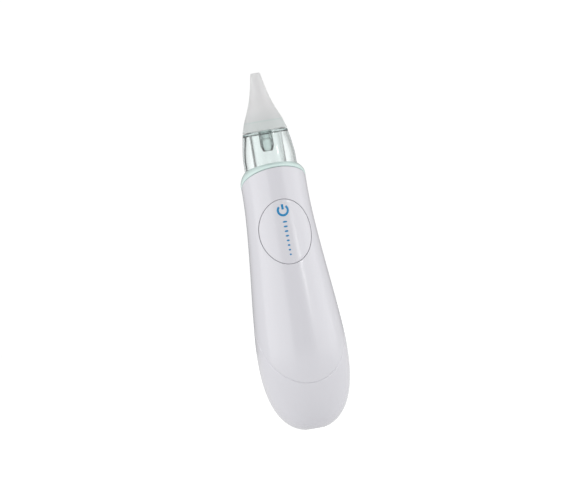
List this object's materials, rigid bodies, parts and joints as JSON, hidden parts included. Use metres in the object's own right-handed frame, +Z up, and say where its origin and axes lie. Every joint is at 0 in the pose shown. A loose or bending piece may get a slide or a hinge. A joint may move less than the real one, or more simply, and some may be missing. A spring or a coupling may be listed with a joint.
{
  "type": "nasal aspirator",
  "caption": "Battery nasal aspirator: round tapered handle with an oval button, clear collection cup, soft silicone tip and a slanted battery cover.",
  "frame": {"origin": "centre of the small flat base that the upright aspirator stands on", "axes": "+Z up the handle's axis to the tip, -Y out of the button, +X to the right as seen facing the button"},
  "size_m": [0.0452, 0.0451, 0.18],
  "materials": {
    "silicone_frosted": "frosted translucent silicone",
    "cup_clear": "clear aqua-tinted plastic",
    "cup_base_clear": "clear aqua-tinted plastic",
    "seal_rubber": "satin",
    "collar_mint": "glossy mint",
    "shell_white": "glossy white",
    "inner_plastic": "satin",
    "board_green": "satin solder mask",
    "part_black": "matte",
    "steel": "plain",
    "copper": "enamelled wire",
    "magnet_grey": "sintered",
    "pump_blue": "satin",
    "pump_rubber": "matte",
    "cell_green": "printed sleeve",
    "hose_clear": "translucent",
    "wire_red": "insulation",
    "wire_black": "insulation",
    "foam_grey": "open-cell foam"
  },
  "bodies": {
    "handle": {"port_seal": "seal_rubber", "collar_ring": "collar_mint", "main_shell": "shell_white", "top_deck": "inner_plastic", "inner_frame": "inner_plastic", "battery_tray": "inner_plastic", "circuit_board": "board_green", "driver_chip": "part_black", "board_capacitor": "steel", "switch_body": "part_black", "board_screw_lower": "steel", "board_screw_upper": "steel", "motor_can": "steel", "motor_end_cap": "part_black", "motor_magnet_left": "magnet_grey", "motor_magnet_right": "magnet_grey", "motor_terminal_left": "copper", "motor_terminal_right": "copper", "motor_screw_left": "steel", "motor_screw_right": "steel", "pump_housing": "pump_blue", "diaphragm": "pump_rubber", "valve_plate": "pump_blue", "valve_flaps": "pump_rubber", "pump_head": "pump_blue", "pump_screw_left": "steel", "pump_screw_right": "steel", "suction_hose": "hose_clear", "exhaust_muffler": "foam_grey", "battery_cell_left": "cell_green", "battery_cell_right": "cell_green", "contact_plate_plus": "steel", "contact_plate_minus": "steel", "contact_link": "steel", "contact_spring_lower": "steel", "contact_spring_upper": "steel", "frame_screw_left": "steel", "frame_screw_right": "steel", "battery_lead_red": "wire_red", "battery_lead_black": "wire_black", "motor_lead_red": "wire_red", "motor_lead_black": "wire_black"},
    "tip": {"nozzle_tip": "silicone_frosted"},
    "cup": {"collection_cup": "cup_clear"},
    "cup_bottom": {"cup_base": "cup_base_clear", "splash_baffle": "cup_base_clear", "cup_seal": "seal_rubber"},
    "button": {"power_button": "shell_white"},
    "plunger": {"switch_plunger": "steel"},
    "cover": {"battery_cover": "shell_white"},
    "rotor": {"motor_shaft": "steel", "motor_armature": "copper", "pump_crank": "inner_plastic"},
    "wobbler": {"wobble_plate": "inner_plastic"}
  },
  "joints": [
    {"name": "cup_assembly_lift", "type": "slide", "parent": "handle", "child": "cup_bottom", "axis": [0, 0, 1], "range_m": [0, 0.03]},
    {"name": "cup_pull", "type": "slide", "parent": "cup_bottom", "child": "cup", "axis": [0, 0, 1], "range_m": [0, 0.035]},
    {"name": "tip_pull", "type": "slide", "parent": "cup", "child": "tip", "axis": [0, 0, 1], "range_m": [0, 0.02]},
    {"name": "battery_cover_slide", "type": "slide", "parent": "handle", "child": "cover", "axis": [0, 0, -1], "range_m": [0, 0.09]},
    {"name": "button_press", "type": "slide", "parent": "handle", "child": "button", "axis": [0, 1, 0], "range_m": [0, 0.0005], "stiffness_N_per_m": 2000},
    {"name": "plunger_press", "type": "slide", "parent": "handle", "child": "plunger", "axis": [0, 1, 0], "range_m": [0, 0.0005]},
    {"name": "motor_spin", "type": "hinge", "parent": "handle", "child": "rotor", "pos_m": [0, 0.0042, 0.08], "axis": [0, 0, 1], "continuous": true},
    {"name": "wobble_spin", "type": "hinge", "parent": "rotor", "child": "wobbler", "pos_m": [0, 0.0042, 0.0949], "axis": [0, -0.1045, 0.9945], "continuous": true}
  ],
  "couplings": [
    {"joint": "plunger_press", "follows": "button_press", "ratio": 1},
    {"joint": "wobble_spin", "follows": "motor_spin", "ratio": -1}
  ]
}
